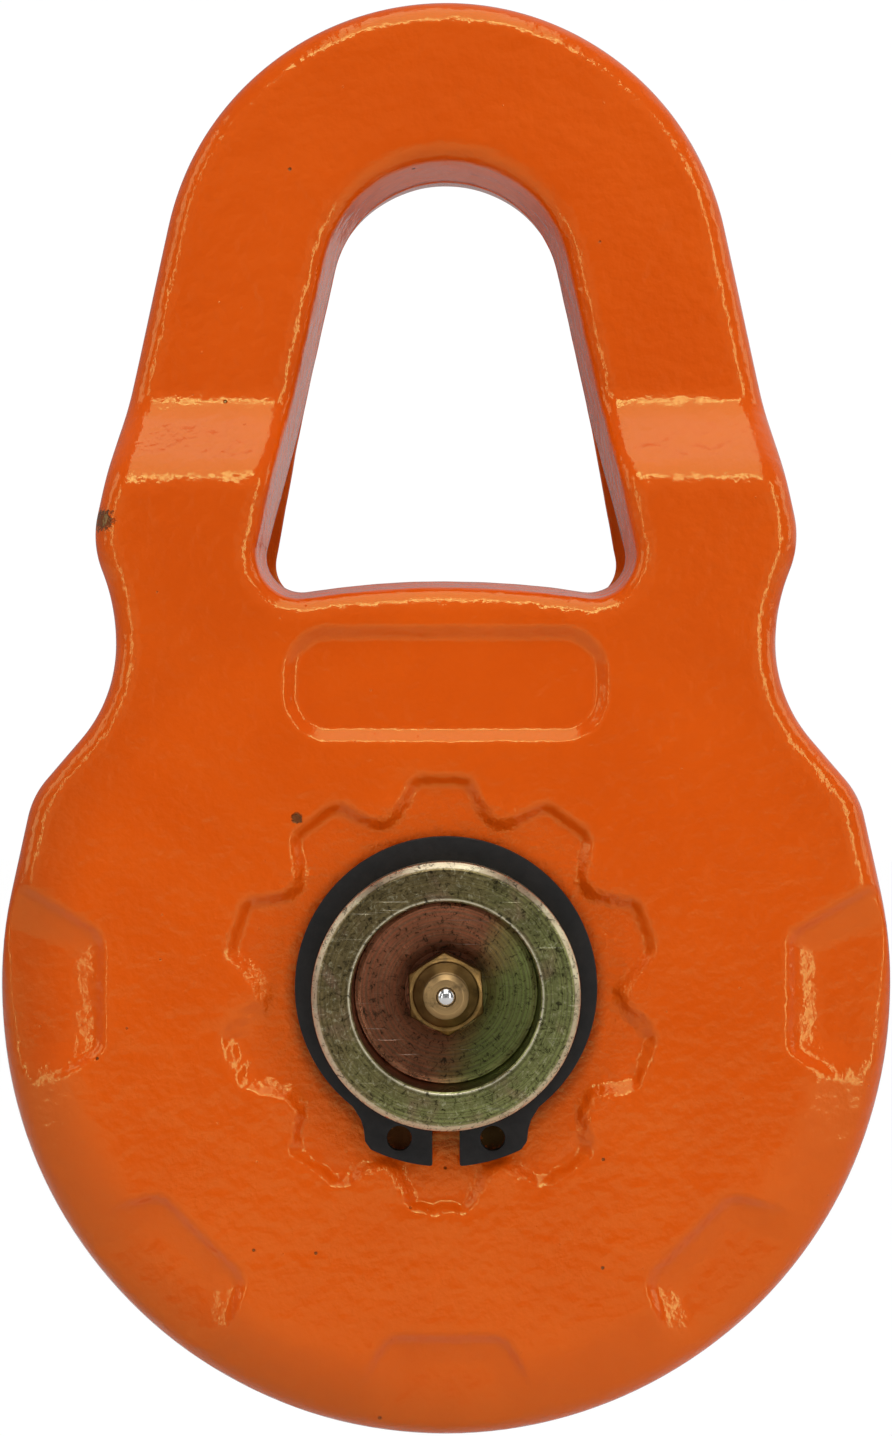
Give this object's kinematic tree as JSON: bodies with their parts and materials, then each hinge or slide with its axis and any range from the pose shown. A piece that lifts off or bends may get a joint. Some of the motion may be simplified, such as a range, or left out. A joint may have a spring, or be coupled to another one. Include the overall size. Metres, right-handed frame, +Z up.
{
  "type": "snatch block",
  "caption": "Pulley block with a shackle eye: a cheek that swings open on a greased centre pin lets a rope on to the grooved sheave.",
  "frame": {"origin": "middle of the arch of the shackle eye, on the plane where the two cheeks meet", "axes": "+Z up along the line of pull from the pin to the eye, +Y along the pin away from the end with the grease nipple, +X to the right as seen from that end"},
  "size_m": [0.135, 0.0625, 0.2192],
  "materials": {
    "orange_paint": "glossy powder coat over cast steel",
    "yellow_zinc": "turned, yellow zinc plated",
    "black_steel": "black phosphate spring steel",
    "machined_steel": "machined",
    "bronze": "machined bronze",
    "brass": "turned",
    "bright_steel": "polished",
    "washer_polymer": "moulded"
  },
  "bodies": {
    "rear_side": {"rear_cheek": "orange_paint", "axle_pin": "yellow_zinc", "front_circlip": "black_steel", "rear_circlip": "black_steel", "front_thrust_washer": "washer_polymer", "rear_thrust_washer": "washer_polymer", "nipple_body": "brass", "nipple_spring": "bright_steel", "nipple_spring_seat": "brass"},
    "front_side": {"front_cheek": "orange_paint"},
    "wheel": {"sheave": "machined_steel", "sheave_bush": "bronze"},
    "ball": {"nipple_ball": "bright_steel"}
  },
  "joints": [
    {"name": "cheek_swing", "type": "hinge", "parent": "rear_side", "child": "front_side", "pos_m": [0, 0, -0.1078], "axis": [0, 1, 0], "continuous": true},
    {"name": "sheave_spin", "type": "hinge", "parent": "rear_side", "child": "wheel", "pos_m": [0, 0, -0.1078], "axis": [0, 1, 0], "continuous": true},
    {"name": "ball_press", "type": "slide", "parent": "rear_side", "child": "ball", "axis": [0, 1, 0], "range_m": [0, 0.0012], "stiffness_N_per_m": 400, "springref_m": -0.002, "deforming": ["nipple_spring"]}
  ]
}
